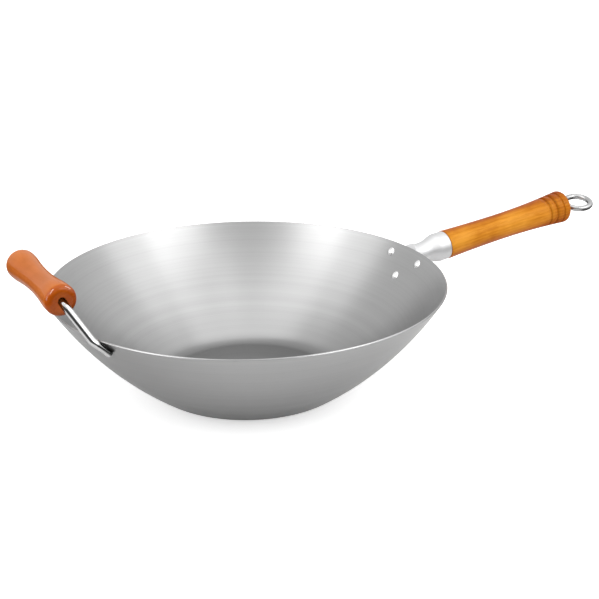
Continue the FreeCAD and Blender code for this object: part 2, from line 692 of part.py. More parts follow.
def make_helper_grip():
    down_leg = bend_point - corner_point
    up = FreeCAD.Vector(-down_leg.x, 0, -down_leg.z).normalize()
    turn = FreeCAD.Rotation(Y_AXIS, FreeCAD.Vector(), up, "XZY")
    body = new_body("helper_grip", FreeCAD.Placement(grip_line, turn))
    sketch = new_sketch(body, "GripProfile")
    half, bore = size("gripHalfLength"), size("helperRadius") + size("gripClearance")
    full = size("gripRadius")
    waist = full - size("gripDip")
    bulb_at = half - size("bulbFromEnd")
    bulb_curve, grip_round = size("bulbCurve"), size("gripRound")
    hollow_curve, angle = tangent_curves(bulb_at, full - waist, bulb_curve)
    down, up = -math.pi / 2, math.pi / 2
    hollow = add_arc(sketch, (0, waist + hollow_curve, 0), hollow_curve,
                     down - angle, down + angle)
    lean = math.asin((half - grip_round - bulb_at) / (bulb_curve - grip_round))
    end_flat = full - bulb_curve + (bulb_curve - grip_round) * math.cos(lean)
    bulb_low = full - bulb_curve
    bulb = add_arc(sketch, (bulb_at, bulb_low, 0), bulb_curve, up - lean, up + angle)
    other_bulb = add_arc(sketch, (-bulb_at, bulb_low, 0), bulb_curve, up - angle, up + lean)
    corner = add_arc(sketch, (half - grip_round, end_flat, 0), grip_round, 0, up - lean)
    other_corner = add_arc(sketch, (grip_round - half, end_flat, 0), grip_round,
                           up + lean, math.pi)
    face, through, other_face = add_polygon(sketch, [
        (half, end_flat, 0), (half, bore, 0), (-half, bore, 0), (-half, end_flat, 0)])
    rule(sketch, "PointOnObject", hollow, CENTRE, UPRIGHT_AXIS)
    rule(sketch, "Tangent", hollow, END, bulb, END)
    rule(sketch, "Tangent", bulb, START, corner, END)
    rule(sketch, "Tangent", corner, START, face, START)
    rule(sketch, "Vertical", face)
    rule(sketch, "Symmetric", bulb, CENTRE, other_bulb, CENTRE, UPRIGHT_AXIS)
    rule(sketch, "Symmetric", face, END, other_face, START, UPRIGHT_AXIS)
    rule(sketch, "Equal", corner, other_corner)
    rule(sketch, "Tangent", hollow, START, other_bulb, START)
    rule(sketch, "Tangent", other_bulb, END, other_corner, START)
    rule(sketch, "Tangent", other_corner, END, other_face, END)
    rule(sketch, "Vertical", other_face)
    drive(sketch, "bore", "Sizes.helperRadius + Sizes.gripClearance", "DistanceY",
          *ORIGIN_POINT, face, END)
    drive(sketch, "bulbAt", "Sizes.gripHalfLength - Sizes.bulbFromEnd", "DistanceX",
          *ORIGIN_POINT, bulb, CENTRE)
    drive(sketch, "bulb", "Sizes.bulbCurve", "Radius", bulb)
    drive(sketch, "bulbLow", "Sizes.bulbCurve - Sizes.gripRadius", "DistanceY",
          bulb, CENTRE, *ORIGIN_POINT)
    waist_point = sketch.addGeometry(Part.Point(FreeCAD.Vector(0, waist, 0)), True)
    rule(sketch, "PointOnObject", waist_point, START, hollow)
    rule(sketch, "PointOnObject", waist_point, START, UPRIGHT_AXIS)
    drive(sketch, "waist", "Sizes.gripRadius - Sizes.gripDip", "DistanceY",
          *ORIGIN_POINT, waist_point, START)
    drive(sketch, "corner", "Sizes.gripRound", "Radius", corner)
    drive(sketch, "half", "Sizes.gripHalfLength", "DistanceX", *ORIGIN_POINT, face, START)
    revolve(body, sketch, "H_Axis", name="GripTurned")
    bend_start = rounded_corner(grip_line, corner_point, bend_point, size("cornerCurve"))[0]
    slot_start = bend_start.y - size("slotRun")
    slot = body.newObject("PartDesign::SubtractiveBox", "EndSlot")
    slot.Length = half - slot_start
    bind(slot, Width="2 * (Sizes.helperRadius + Sizes.gripClearance)",
         Height="Sizes.gripRadius + %g" % OVERRUN)
    slot.Placement = FreeCAD.Placement(FreeCAD.Vector(slot_start, -bore, -full - OVERRUN),
                                       FreeCAD.Rotation())
    doc.recompute()
    mirrored = body.newObject("PartDesign::Mirrored", "OtherEnd")
    mirrored.Originals = [slot]
    plane = [item for item in body.Origin.OriginFeatures if item.Role == "YZ_Plane"][0]
    mirrored.MirrorPlane = (plane, [""])
    body.Tip = mirrored
    doc.recompute()
    return body


outer_form = make_form("outer_form")
flange_form = make_form("flange_form", size("flangeThickness"),
                        "Sizes.kneeRadius + Sizes.flangeThickness")
rivet_holes = make_rivet_holes()
pieces = [
    make_bowl(rivet_holes),
    make_socket(outer_form, flange_form, rivet_holes),
    make_long_handle(),
    make_tie_rod(),
    make_helper_rod(outer_form),
    make_helper_grip(),
]
pieces += [make_rivet(label, frame) for label, frame in rivet_frames.items()]
doc.recompute()

for obj in doc.Objects:
    if "Invalid" in obj.State or "Error" in obj.State:
        raise RuntimeError("%s did not build: %s" % (obj.Name, obj.State))
for piece in pieces:
    if piece.Shape.isNull() or not piece.Shape.isValid():
        raise RuntimeError("%s has no valid shape" % piece.Label)
    if len(piece.Shape.Solids) != 1:
        raise RuntimeError("%s has %d solids" % (piece.Label, len(piece.Shape.Solids)))

os.makedirs("parts", exist_ok=True)
for piece in pieces:
    piece.Shape.exportStep("parts/%s.step" % piece.Label)
    box = piece.Shape.BoundBox
    print("%-16s volume %10.1f  x %7.1f %7.1f  y %7.1f %7.1f  z %6.1f %6.1f" % (
        piece.Label, piece.Shape.Volume, box.XMin, box.XMax, box.YMin, box.YMax,
        box.ZMin, box.ZMax))
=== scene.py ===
import math

import bmesh
import bpy
from mathutils import Matrix, Vector


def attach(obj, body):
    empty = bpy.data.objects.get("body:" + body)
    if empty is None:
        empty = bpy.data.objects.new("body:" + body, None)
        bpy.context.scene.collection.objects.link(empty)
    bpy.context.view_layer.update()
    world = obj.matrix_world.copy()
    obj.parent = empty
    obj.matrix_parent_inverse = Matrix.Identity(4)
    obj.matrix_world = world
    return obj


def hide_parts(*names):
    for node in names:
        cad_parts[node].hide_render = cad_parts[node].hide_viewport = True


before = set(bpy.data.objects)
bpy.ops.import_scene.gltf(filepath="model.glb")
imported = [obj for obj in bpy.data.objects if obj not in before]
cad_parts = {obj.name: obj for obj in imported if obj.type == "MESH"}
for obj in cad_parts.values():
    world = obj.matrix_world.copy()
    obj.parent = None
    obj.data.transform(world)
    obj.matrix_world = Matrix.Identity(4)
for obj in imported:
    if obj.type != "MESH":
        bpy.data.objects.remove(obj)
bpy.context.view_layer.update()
print("the solids are in:", ", ".join(sorted(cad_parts)))

# Sizes are in millimetres and degrees. A piece is modelled in millimetres and brought down to
# metres as it is linked, so its place is in its mesh.
metre = 1000.0  # in millimetres
weldWithin = 0.002  # points closer than this become one
mirrorWithin = 0.001
sliver = 0.0005  # edges shorter than this go

shot = {
    "place": (-0.46047, -0.89215, 0.46373),
    "heading": 29.973,  # from +Y towards +X
    "down": 20.9345,
    "roll": -0.198,
    "lens": 70.73,
    "sensor": 36,
    "clip": (0.02, 60),
}


def placeCamera():
    camera = bpy.data.objects.new("camera", bpy.data.cameras.new("camera"))
    camera.data.lens = shot["lens"]
    camera.data.sensor_width = shot["sensor"]
    camera.data.clip_start, camera.data.clip_end = shot["clip"]
    turn = Matrix.Rotation(math.radians(-shot["heading"]), 4, "Z")
    tip = Matrix.Rotation(math.radians(90 - shot["down"]), 4, "X")
    roll = Matrix.Rotation(math.radians(shot["roll"]), 4, "Z")
    camera.matrix_world = Matrix.Translation(shot["place"]) @ turn @ tip @ roll
    bpy.context.scene.collection.objects.link(camera)
    bpy.context.scene.camera = camera


def linkPiece(name, mesh, smooth=True):
    # takes a finished bmesh in millimetres
    bmesh.ops.scale(mesh, vec=(1 / metre,) * 3, verts=mesh.verts)
    for face in mesh.faces:
        face.smooth = smooth
    data = bpy.data.meshes.new(name)
    mesh.to_mesh(data)
    mesh.free()
    piece = bpy.data.objects.new(name, data)
    bpy.context.scene.collection.objects.link(piece)
    return piece


def startLine(mesh, along, out):
    return mesh.verts.new((along, 0, out))


def runTo(mesh, last, along, out, cuts=1):
    start = last.co.copy()
    for step in range(1, cuts + 1):
        last = bmesh.ops.extrude_vert_indiv(mesh, verts=[last])["verts"][0]
        last.co = start.lerp(Vector((along, 0, out)), step / cuts)
    return last


def curveOn(mesh, last, along, out, degrees, cuts):
    # carries the line on round a centre, anticlockwise when degrees is positive
    made = bmesh.ops.spin(mesh, geom=[last], cent=(along, 0, out), axis=(0, -1, 0),
                          angle=math.radians(degrees), steps=cuts, use_merge=False,
                          use_duplicate=False)
    return next(item for item in made["geom_last"] if isinstance(item, bmesh.types.BMVert))


def turnLine(mesh, axis, steps):
    # spins the drawn line all the way round and closes the seam and the poles
    bmesh.ops.spin(mesh, geom=mesh.verts[:] + mesh.edges[:], cent=(0, 0, 0), axis=axis,
                   angle=math.tau, steps=steps, use_merge=True, use_duplicate=False)
    bmesh.ops.remove_doubles(mesh, verts=mesh.verts, dist=weldWithin)
    bmesh.ops.dissolve_degenerate(mesh, edges=mesh.edges, dist=sliver)
    bmesh.ops.recalc_face_normals(mesh, faces=mesh.faces)


def headingOf(out, up):
    return math.degrees(math.atan2(up, out))


bowlSizes = {
    "rim": 180.0,
    "depth": 98.7,
    "base": 78.2,
    "knee": 25.4,
    "wallCurve": 318.0,
    "sheet": 1.5,
    "rimSoftening": 0.45,
    "rimSupport": 0.3,  # a last short step keeps the wall's shading true up to the rounded rim
    "steps": 288,
}

reach = bowlSizes["rim"] - bowlSizes["base"]
rise = bowlSizes["depth"] - bowlSizes["knee"]
inner = bowlSizes["wallCurve"] - bowlSizes["knee"]
span = math.hypot(reach, rise)
lean = math.atan2(rise, reach) + math.acos(
    (inner**2 + span**2 - bowlSizes["wallCurve"] ** 2) / (2 * inner * span))
wallOut = bowlSizes["base"] + inner * math.cos(lean)
wallUp = bowlSizes["knee"] + inner * math.sin(lean)
wallStart = headingOf(bowlSizes["base"] - wallOut, bowlSizes["knee"] - wallUp)
wallEnd = headingOf(bowlSizes["rim"] - wallOut, bowlSizes["depth"] - wallUp)


def wallFrame(drop, azimuth=0.0, standoff=0.0):
    # a place on the wall: Z outwards, Y up the slope, X round the bowl
    angle = math.radians(wallEnd) - drop / bowlSizes["wallCurve"]
    far = bowlSizes["wallCurve"] + standoff
    radius, height = wallOut + far * math.cos(angle), wallUp + far * math.sin(angle)
    outward = Vector((math.cos(azimuth), math.sin(azimuth), 0))
    normal = outward * math.cos(angle) + Vector((0, 0, math.sin(angle)))
    slope = Vector((0, 0, math.cos(angle))) - outward * math.sin(angle)
    place = outward * radius + Vector((0, 0, height))
    turn = Matrix((slope.cross(normal), slope, normal)).transposed().to_4x4()
    return Matrix.Translation(place) @ turn


def makeBowl():
    s = bowlSizes
    mesh = bmesh.new()
    soft = s["rimSoftening"]
    top = wallEnd - math.degrees(soft / s["wallCurve"])
    topUp = math.radians(top)

    def onWall(far):
        return wallOut + far * math.cos(topUp), wallUp + far * math.sin(topUp)

    line = startLine(mesh, 0, 0)
    line = runTo(mesh, line, s["base"], 0, cuts=6)
    line = curveOn(mesh, line, s["base"], s["knee"], wallStart + 90, cuts=12)
    short = math.degrees(s["rimSupport"] / s["wallCurve"])
    line = curveOn(mesh, line, wallOut, wallUp, top - wallStart - short, cuts=30)
    line = curveOn(mesh, line, wallOut, wallUp, short, cuts=1)
    line = curveOn(mesh, line, *onWall(s["wallCurve"] - soft), 90, cuts=4)
    line = curveOn(mesh, line, *onWall(s["wallCurve"] - s["sheet"] + soft), 90, cuts=4)
    line = curveOn(mesh, line, wallOut, wallUp, -short, cuts=1)
    line = curveOn(mesh, line, wallOut, wallUp, wallStart - top + short, cuts=30)
    line = curveOn(mesh, line, s["base"], s["knee"], -90 - wallStart, cuts=12)
    runTo(mesh, line, 0, s["sheet"], cuts=6)
    turnLine(mesh, (0, 0, 1), s["steps"])
    for face in mesh.faces:  # the trimmed edge is brighter than the brushed walls
        middle = face.calc_center_median()
        up = headingOf(math.hypot(middle.x, middle.y) - wallOut, middle.z - wallUp)
        face.material_index = int(up > top and middle.z > s["depth"] / 2)
    return linkPiece("bowlShell", mesh)


rivetSizes = {
    "spread": 45.0,
    "upperDrop": 10.6,
    "lowerDrop": 30.5,
    "head": 4.4,
    "headRise": 1.9,
    "tail": 4.1,
    "tailRise": 1.6,
    "shank": 2.5,
    "outside": 3.0,  # the flange's thickness
    "seatGap": 0.05,
    "edgeOut": 0.1,
    "edgeRise": 0.14,
    "edgeSwing": 2.0,  # degrees of the dome that its edge takes
}


def makeRivet(name, place):
    s = rivetSizes
    mesh = bmesh.new()
    seat = -bowlSizes["sheet"] - s["seatGap"]
    line = startLine(mesh, 0, seat - s["headRise"])
    curve = (s["head"] ** 2 + s["headRise"] ** 2) / (2 * s["headRise"])
    swing = math.degrees(math.asin(s["head"] / curve))
    line = curveOn(mesh, line, 0, seat - s["headRise"] + curve, swing - s["edgeSwing"], cuts=12)
    line = runTo(mesh, line, s["head"], seat - s["edgeRise"])
    line = runTo(mesh, line, s["head"] - s["edgeOut"], seat)
    line = runTo(mesh, line, s["shank"], seat)
    line = runTo(mesh, line, s["shank"], s["outside"])
    line = runTo(mesh, line, s["tail"] - s["edgeOut"], s["outside"])
    line = runTo(mesh, line, s["tail"], s["outside"] + s["edgeRise"])
    curve = (s["tail"] ** 2 + s["tailRise"] ** 2) / (2 * s["tailRise"])
    swing = math.degrees(math.asin(s["tail"] / curve))
    crown = s["outside"] + s["tailRise"]
    edgeUp = math.radians(90 - swing + s["edgeSwing"])
    line = runTo(mesh, line, curve * math.cos(edgeUp), crown - curve + curve * math.sin(edgeUp))
    curveOn(mesh, line, 0, crown - curve, swing - s["edgeSwing"], cuts=10)
    turnLine(mesh, (0, 0, 1), steps=48)
    bmesh.ops.transform(mesh, matrix=place, verts=mesh.verts)
    return linkPiece(name, mesh)


def makeRivets():
    s = rivetSizes
    upper = wallFrame(s["upperDrop"])
    azimuth = math.asin(s["spread"] / 2 / upper.translation.x)
    return {
        "rivet_left": makeRivet("rivetLeft", wallFrame(s["upperDrop"], azimuth)),
        "rivet_right": makeRivet("rivetRight", wallFrame(s["upperDrop"], -azimuth)),
        "rivet_lower": makeRivet("rivetLower", wallFrame(s["lowerDrop"])),
    }


handleLine = {"belowRim": 7.6, "tilt": 6.6}
handleStart = (bowlSizes["rim"], 0, bowlSizes["depth"] - handleLine["belowRim"])
handlePlace = (Matrix.Translation(handleStart)
               @ Matrix.Rotation(math.radians(-handleLine["tilt"]), 4, "Y"))

castingSizes = {
    "grain": 0.55,  # how fine the mould surface is
    "blendFrom": 2.85,  # heights above the wall between which the neck melts into the flange
    "blendTo": 8.5,
    "blendPasses": 70,
    "allOverPasses": 2,
    "weld": 0.001,
}


def makeCasting():
    # a copy of the socket, remeshed, with its corners and the neck's root softened as a mould
    # leaves them
    s = castingSizes
    rough = bpy.data.objects.new("castingRough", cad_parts["handle_socket"].data.copy())
    bpy.context.scene.collection.objects.link(rough)
    mesh = bmesh.new()
    mesh.from_mesh(rough.data)
    bmesh.ops.remove_doubles(mesh, verts=mesh.verts, dist=s["weld"] / metre)
    mesh.to_mesh(rough.data)
    mesh.free()
    remesh = rough.modifiers.new("mould", "REMESH")
    remesh.mode = "VOXEL"
    remesh.voxel_size = s["grain"] / metre
    graph = bpy.context.evaluated_depsgraph_get()
    cast = bpy.data.meshes.new_from_object(rough.evaluated_get(graph))
    bpy.data.objects.remove(rough)
    mesh = bmesh.new()
    mesh.from_mesh(cast)
    bmesh.ops.scale(mesh, vec=(metre,) * 3, verts=mesh.verts)
    root = []
    for vert in mesh.verts:
        out, up = math.hypot(vert.co.x, vert.co.y) - wallOut, vert.co.z - wallUp
        if s["blendFrom"] < math.hypot(out, up) - bowlSizes["wallCurve"] < s["blendTo"]:
            root.append(vert)
    for verts, passes in ((root, s["blendPasses"]), (mesh.verts[:], s["allOverPasses"])):
        for turn in range(passes):
            bmesh.ops.smooth_vert(mesh, verts=verts, factor=0.5, use_axis_x=True,
                                  use_axis_y=True, use_axis_z=True)
    return linkPiece("socketCasting", mesh)


handleSizes = {
    "from": 40.6,
    "length": 152.7,
    "front": 14.4,
    "frontBevel": 0.7,
    "waist": 13.0,
    "waistFromFront": 69.0,
    "flareCurve": 860.0,
    "endRound": 4.2,
    "grooves": (26.8, 19.0, 9.8),  # from the far end
    "grooveRadius": 0.9,
    "grooveDepth": 0.55,
    "bore": 3.3,
    "mouth": 1.4,
    "tenon": 11.0,
    "tenonLength": 12.0,
    "bevelSwing": 88.0,  # a corner is turned short of square, so that it doesn't fold
    "cutsPerDegree": 4,  # of the flare up to each groove
    "steps": 144,
}


def makeLongHandle():
    s = handleSizes
    mesh = bmesh.new()
    line = startLine(mesh, -s["tenonLength"], s["bore"])
    line = runTo(mesh, line, -s["tenonLength"], s["tenon"])
    line = runTo(mesh, line, 0, s["tenon"])
    line = runTo(mesh, line, 0, s["front"] - s["frontBevel"], cuts=2)
    line = curveOn(mesh, line, s["frontBevel"], s["front"] - s["frontBevel"],
                   -s["bevelSwing"], cuts=4)
    run, dip = s["waistFromFront"] - s["frontBevel"], s["front"] - s["waist"]
    taper = (run**2 + dip**2) / (2 * dip)
    swing = math.degrees(math.asin(run / taper))
    line = runTo(mesh, line, s["frontBevel"], s["front"])
    line = curveOn(mesh, line, s["waistFromFront"], s["waist"] + taper, swing, cuts=16)
    flareUp, done = s["waist"] + s["flareCurve"], -90.0
    for groove in s["grooves"]:
        at = s["length"] - groove
        out = flareUp - math.sqrt(s["flareCurve"] ** 2 - (at - s["waistFromFront"]) ** 2)
        half = math.sqrt(s["grooveRadius"] ** 2 - (s["grooveRadius"] - s["grooveDepth"]) ** 2)
        edge = -90 + math.degrees(math.asin((at - half - s["waistFromFront"]) / s["flareCurve"]))
        line = curveOn(mesh, line, s["waistFromFront"], flareUp, edge - done,
                       cuts=max(2, int((edge - done) * s["cutsPerDegree"])))
        centre = out + s["grooveRadius"] - s["grooveDepth"]
        dip = math.degrees(math.acos(half / s["grooveRadius"]))
        line = curveOn(mesh, line, at, centre, 180 - 2 * dip, cuts=8)
        done = -90 + math.degrees(math.asin((at + half - s["waistFromFront"]) / s["flareCurve"]))
        line = runTo(mesh, line, *flarePoint(done, flareUp))
    reachOut = s["flareCurve"] + s["endRound"]
    lean = math.degrees(math.asin((s["length"] - s["endRound"] - s["waistFromFront"]) / reachOut))
    line = curveOn(mesh, line, s["waistFromFront"], flareUp, lean - 90 - done, cuts=4)
    corner = flareUp - reachOut * math.cos(math.radians(lean))
    line = curveOn(mesh, line, s["length"] - s["endRound"], corner, -90 - lean, cuts=10)
    line = runTo(mesh, line, s["length"], s["bore"] + s["mouth"], cuts=4)
    line = curveOn(mesh, line, s["length"] - s["mouth"], s["bore"] + s["mouth"],
                   -s["bevelSwing"], cuts=5)
    line = runTo(mesh, line, s["length"] - s["mouth"], s["bore"])
    runTo(mesh, line, -s["tenonLength"], s["bore"], cuts=2)
    turnLine(mesh, (1, 0, 0), s["steps"])
    bmesh.ops.transform(mesh, matrix=handlePlace @ Matrix.Translation((s["from"], 0, 0)),
                        verts=mesh.verts)
    return linkPiece("handleWood", mesh)


def flarePoint(angle, flareUp):
    s = handleSizes
    turn = math.radians(angle)
    return (s["waistFromFront"] + s["flareCurve"] * math.cos(turn),
            flareUp + s["flareCurve"] * math.sin(turn))


def faceAlong(place, along, side):
    # a frame whose Z runs along the rod and whose X is the side
    along = along.normalized()
    side = (side - along * side.dot(along)).normalized()
    turn = Matrix((side, along.cross(side), along)).transposed().to_4x4()
    return Matrix.Translation(place) @ turn


def sweepRod(mesh, stations, segments=40):
    # stations are frames and half sizes; the ring is extruded from each to the next
    made = bmesh.ops.create_circle(mesh, cap_ends=False, segments=segments, radius=1)
    ring = made["verts"]
    frameWas, (wideWas, thickWas) = stations[0]
    shapeWas = frameWas @ Matrix.Diagonal((wideWas, thickWas, 1, 1))
    bmesh.ops.transform(mesh, matrix=shapeWas, verts=ring)
    first = ring
    edges = list({edge for vert in ring for edge in vert.link_edges})
    for place, (wide, thick) in stations[1:]:
        made = bmesh.ops.extrude_edge_only(mesh, edges=edges)["geom"]
        ring = [item for item in made if isinstance(item, bmesh.types.BMVert)]
        held = set(ring)
        edges = [item for item in made if isinstance(item, bmesh.types.BMEdge)
                 and all(vert in held for vert in item.verts)]
        shape = place @ Matrix.Diagonal((wide, thick, 1, 1))
        bmesh.ops.transform(mesh, matrix=shape @ shapeWas.inverted(), verts=ring)
        shapeWas = shape
    for end in (first, ring):
        held = set(end)
        loop = list({edge for vert in end for edge in vert.link_edges
                     if all(one in held for one in edge.verts)})
        bmesh.ops.holes_fill(mesh, edges=loop, sides=segments)
    return first, ring


def roundedPath(points, radii, cuts=10):
    # places and headings along straight runs whose corners are rounded
    path = [(points[0], points[1] - points[0])]
    for before, corner, after, radius in zip(points, points[1:], points[2:], radii):
        back, on = (before - corner).normalized(), (after - corner).normalized()
        half = back.angle(on) / 2
        trim = radius / math.tan(half)
        centre = corner + (back + on).normalized() * (radius / math.sin(half))
        spoke, axis = corner + back * trim - centre, on.cross(back)
        for step in range(cuts + 1):
            turn = Matrix.Rotation((math.pi - 2 * half) * step / cuts, 3, axis)
            path.append((centre + turn @ spoke, turn @ -back))
    path.append((points[-1], points[-1] - points[-2]))
    return path


helperSizes = {
    "radius": 3.25,
    "out": 11.5,
    "rise": 34.6,
    "cornerHalf": 48.5,
    "cornerCurve": 14.0,
    "bendRise": 2.7,
    "bendHalf": 64.4,
    "bendCurve": 12.0,
    "bendGap": 0.3,
    "footDrop": 12.5,
    "footHalf": 70.4,
    "footWide": 4.1,
    "footThick": 2.5,
    "footPress": 0.1,
    # share of the way along the foot, then how far its width and thickness have come
    "pressed": ((0.2, 0.25, 0.3), (0.4, 0.7, 0.75), (0.55, 1, 1), (0.8, 1, 1), (0.95, 1, 1)),
    # the cropped end is eased: share of the way, of the width and of the thickness
    "cropped": ((0.985, 0.97, 0.95), (1, 0.86, 0.8)),
}


def besideWall(drop, standoff, half):
    place = wallFrame(drop, 0, standoff).translation
    return Vector((-math.sqrt(place.x**2 - half**2), half, place.z))


gripLine = Vector((-bowlSizes["rim"] - helperSizes["out"], 0,
                   bowlSizes["depth"] + helperSizes["rise"]))
gripCorner = gripLine + Vector((0, helperSizes["cornerHalf"], 0))
rodBend = besideWall(-helperSizes["bendRise"], helperSizes["radius"] + helperSizes["bendGap"],
                     helperSizes["bendHalf"])
rodFoot = besideWall(helperSizes["footDrop"], helperSizes["footThick"] - helperSizes["footPress"],
                     helperSizes["footHalf"])


def makeHelperRod():
    s = helperSizes
    path = roundedPath([gripLine, gripCorner, rodBend, rodFoot],
                       [s["cornerCurve"], s["bendCurve"]])
    out = Vector((rodFoot.x, rodFoot.y, 0)).normalized()
    angle = math.radians(wallEnd)
    normal = out * math.cos(angle) + Vector((0, 0, math.sin(angle)))
    stations = [(faceAlong(place, along, along.cross(normal)), (s["radius"], s["radius"]))
                for place, along in path[:-1]]
    footSizes = [(share, s["radius"] + (s["footWide"] - s["radius"]) * wide,
                  s["radius"] + (s["footThick"] - s["radius"]) * thick)
                 for share, wide, thick in s["pressed"]]
    footSizes += [(share, s["footWide"] * wide, s["footThick"] * thick)
                  for share, wide, thick in s["cropped"]]
    last = path[-2][0]
    along = rodFoot - last
    for share, wide, thick in footSizes:
        place = last.lerp(rodFoot, share)
        stations.append((faceAlong(place, along, along.cross(normal)), (wide, thick)))
    mesh = bmesh.new()
    sweepRod(mesh, stations)
    # the half at the middle of the grip is open, and its mirror closes it
    middle = [face for face in mesh.faces if abs(face.calc_center_median().y) < mirrorWithin]
    bmesh.ops.delete(mesh, geom=middle, context="FACES_ONLY")
    bmesh.ops.mirror(mesh, geom=mesh.verts[:] + mesh.edges[:] + mesh.faces[:], axis="Y",
                     matrix=Matrix.Identity(4), merge_dist=mirrorWithin)
    bmesh.ops.remove_doubles(mesh, verts=mesh.verts, dist=weldWithin)
    bmesh.ops.recalc_face_normals(mesh, faces=mesh.faces)
    return linkPiece("helperRodPlated", mesh)


eyeSizes = {
    "radius": 2.9,
    "tip": 14.0,
    "neck": 5.2,
    "eye": 13.4,
    "down": 2.1,
    "turn": 10.3,
    "bendBefore": 1.0,
    "bendCurve": 20.0,
    "round": 32,
    "steps": 96,
}


def makeEyeRod():
    s = eyeSizes
    handleEnd = handleSizes["from"] + handleSizes["length"]
    eyeAt = handleEnd + s["neck"] + s["radius"] + s["eye"]
    mesh = bmesh.new()
    path = roundedPath([Vector((s["tip"], 0, 0)), Vector((handleEnd - s["bendBefore"], 0, 0)),
                        Vector((eyeAt - s["eye"], 0, -s["down"]))], [s["bendCurve"]], cuts=6)
    side = Vector((0, 1, 0))
    size = (s["radius"], s["radius"])
    stations = [(faceAlong(place, along, side), size) for place, along in path]
    sweepRod(mesh, stations, s["round"])
    ring = bmesh.ops.create_circle(mesh, cap_ends=False, segments=s["round"], radius=s["radius"],
                                   matrix=Matrix.Translation((s["eye"], 0, 0))
                                   @ Matrix.Rotation(math.pi / 2, 4, "X"))["verts"]
    loop = list({edge for vert in ring for edge in vert.link_edges})
    before = set(mesh.verts) - set(ring)
    bmesh.ops.spin(mesh, geom=ring + loop, cent=(0, 0, 0), axis=(0, 0, 1), angle=math.tau,
                   steps=s["steps"], use_merge=True, use_duplicate=False)
    bmesh.ops.remove_doubles(mesh, verts=mesh.verts, dist=weldWithin)
    eye = [vert for vert in mesh.verts if vert not in before]
    place = (Matrix.Translation((eyeAt, 0, -s["down"]))
             @ Matrix.Rotation(math.radians(s["turn"]), 4, "X"))
    bmesh.ops.transform(mesh, matrix=place, verts=eye)
    bmesh.ops.recalc_face_normals(mesh, faces=mesh.faces)
    bmesh.ops.transform(mesh, matrix=handlePlace, verts=mesh.verts)
    return linkPiece("hangingEyePlated", mesh)


gripSizes = {
    "half": 53.5,
    "radius": 13.3,
    "dip": 2.6,
    "bulbFromEnd": 6.5,
    "bulbCurve": 120.0,
    "endRound": 5.0,
    "clearance": 0.25,
    "slotLength": 12.4,
    "cutPastEnd": 4.0,
    "cutPastSide": 6.0,
    "sharpFrom": 38.0,
    "steps": 120,
}


def makeGrip():
    s = gripSizes
    mesh = bmesh.new()
    bore = helperSizes["radius"] + s["clearance"]
    waist, bulbAt = s["radius"] - s["dip"], s["half"] - s["bulbFromEnd"]
    total = (bulbAt**2 + s["dip"] ** 2) / (2 * s["dip"])
    hollow = total - s["bulbCurve"]
    swing = math.degrees(math.asin(bulbAt / total))
    line = startLine(mesh, 0, bore)
    line = runTo(mesh, line, s["half"], bore, cuts=6)
    inside = s["bulbCurve"] - s["endRound"]
    tip = math.degrees(math.asin((s["bulbFromEnd"] - s["endRound"]) / inside))
    low = s["radius"] - s["bulbCurve"]
    corner = low + inside * math.cos(math.radians(tip))
    line = runTo(mesh, line, s["half"], corner, cuts=6)
    line = curveOn(mesh, line, s["half"] - s["endRound"], corner, 90 - tip, cuts=10)
    line = curveOn(mesh, line, bulbAt, low, tip + swing, cuts=8)
    curveOn(mesh, line, 0, waist + hollow, -swing, cuts=20)
    bmesh.ops.mirror(mesh, geom=mesh.verts[:] + mesh.edges[:], axis="X", matrix=Matrix.Identity(4),
                     merge_dist=mirrorWithin)
    turnLine(mesh, (1, 0, 0), s["steps"])
    # from the turning's line to the rod's, its slots towards the legs
    down = rodBend - gripCorner
    up = Vector((-down.x, 0, -down.z)).normalized()
    along = Vector((0, 1, 0))
    turn = Matrix((along, up.cross(along), up)).transposed().to_4x4()
    place = Matrix.Translation(gripLine) @ turn
    bmesh.ops.transform(mesh, matrix=place, verts=mesh.verts)
    grip = linkPiece("gripWood", mesh)
    cutter = bmesh.new()
    start, end = s["half"] - s["slotLength"], s["half"] + s["cutPastEnd"]
    deep = s["radius"] + s["cutPastSide"]
    for sign in (1, -1):
        box = bmesh.ops.create_cube(cutter, size=1)["verts"]
        middle = Matrix.Translation((sign * (start + end) / 2, 0, -deep / 2))
        bmesh.ops.transform(cutter, matrix=place @ middle @ Matrix.Diagonal(
            (end - start, 2 * bore, deep, 1)), verts=box)
    for face in cutter.faces:
        face.material_index = 1
    slots = linkPiece("slotCutter", cutter)
    # two empty slots each, so that the slots' faces keep a material of their own, painted dark as
    # shade
    dress(slots, None, None)
    dress(grip, None, None)
    cut = grip.modifiers.new("slots", "BOOLEAN")
    cut.object, cut.operation, cut.solver = slots, "DIFFERENCE", "EXACT"
    graph = bpy.context.evaluated_depsgraph_get()
    carved = bpy.data.meshes.new_from_object(grip.evaluated_get(graph))
    grip.modifiers.clear()
    grip.data = carved
    grip.data.name = "gripWood"
    bpy.data.objects.remove(slots)
    for face in grip.data.polygons:
        face.use_smooth = True
    grip.data.set_sharp_from_angle(angle=math.radians(s["sharpFrom"]))
    return grip


def newMaterial(name):
    material = bpy.data.materials.new(name)
    material.use_nodes = True
    return material, material.node_tree.nodes["Principled BSDF"]


def addNode(material, kind, **values):
    node = material.node_tree.nodes.new(kind)
    for name, value in values.items():
        setattr(node, name, value)
    return node


def join(material, source, target):
    material.node_tree.links.new(source, target)


def dress(piece, *materials):
    piece.data.materials.clear()
    for material in materials:
        piece.data.materials.append(material)


def mathNode(material, operation, first, second=None, third=None):
    node = addNode(material, "ShaderNodeMath", operation=operation)
    for socket, value in zip(node.inputs, (first, second, third)):
        if value is None:
            continue
        if isinstance(value, (int, float)):
            socket.default_value = value
        else:
            join(material, value, socket)
    return node.outputs[0]


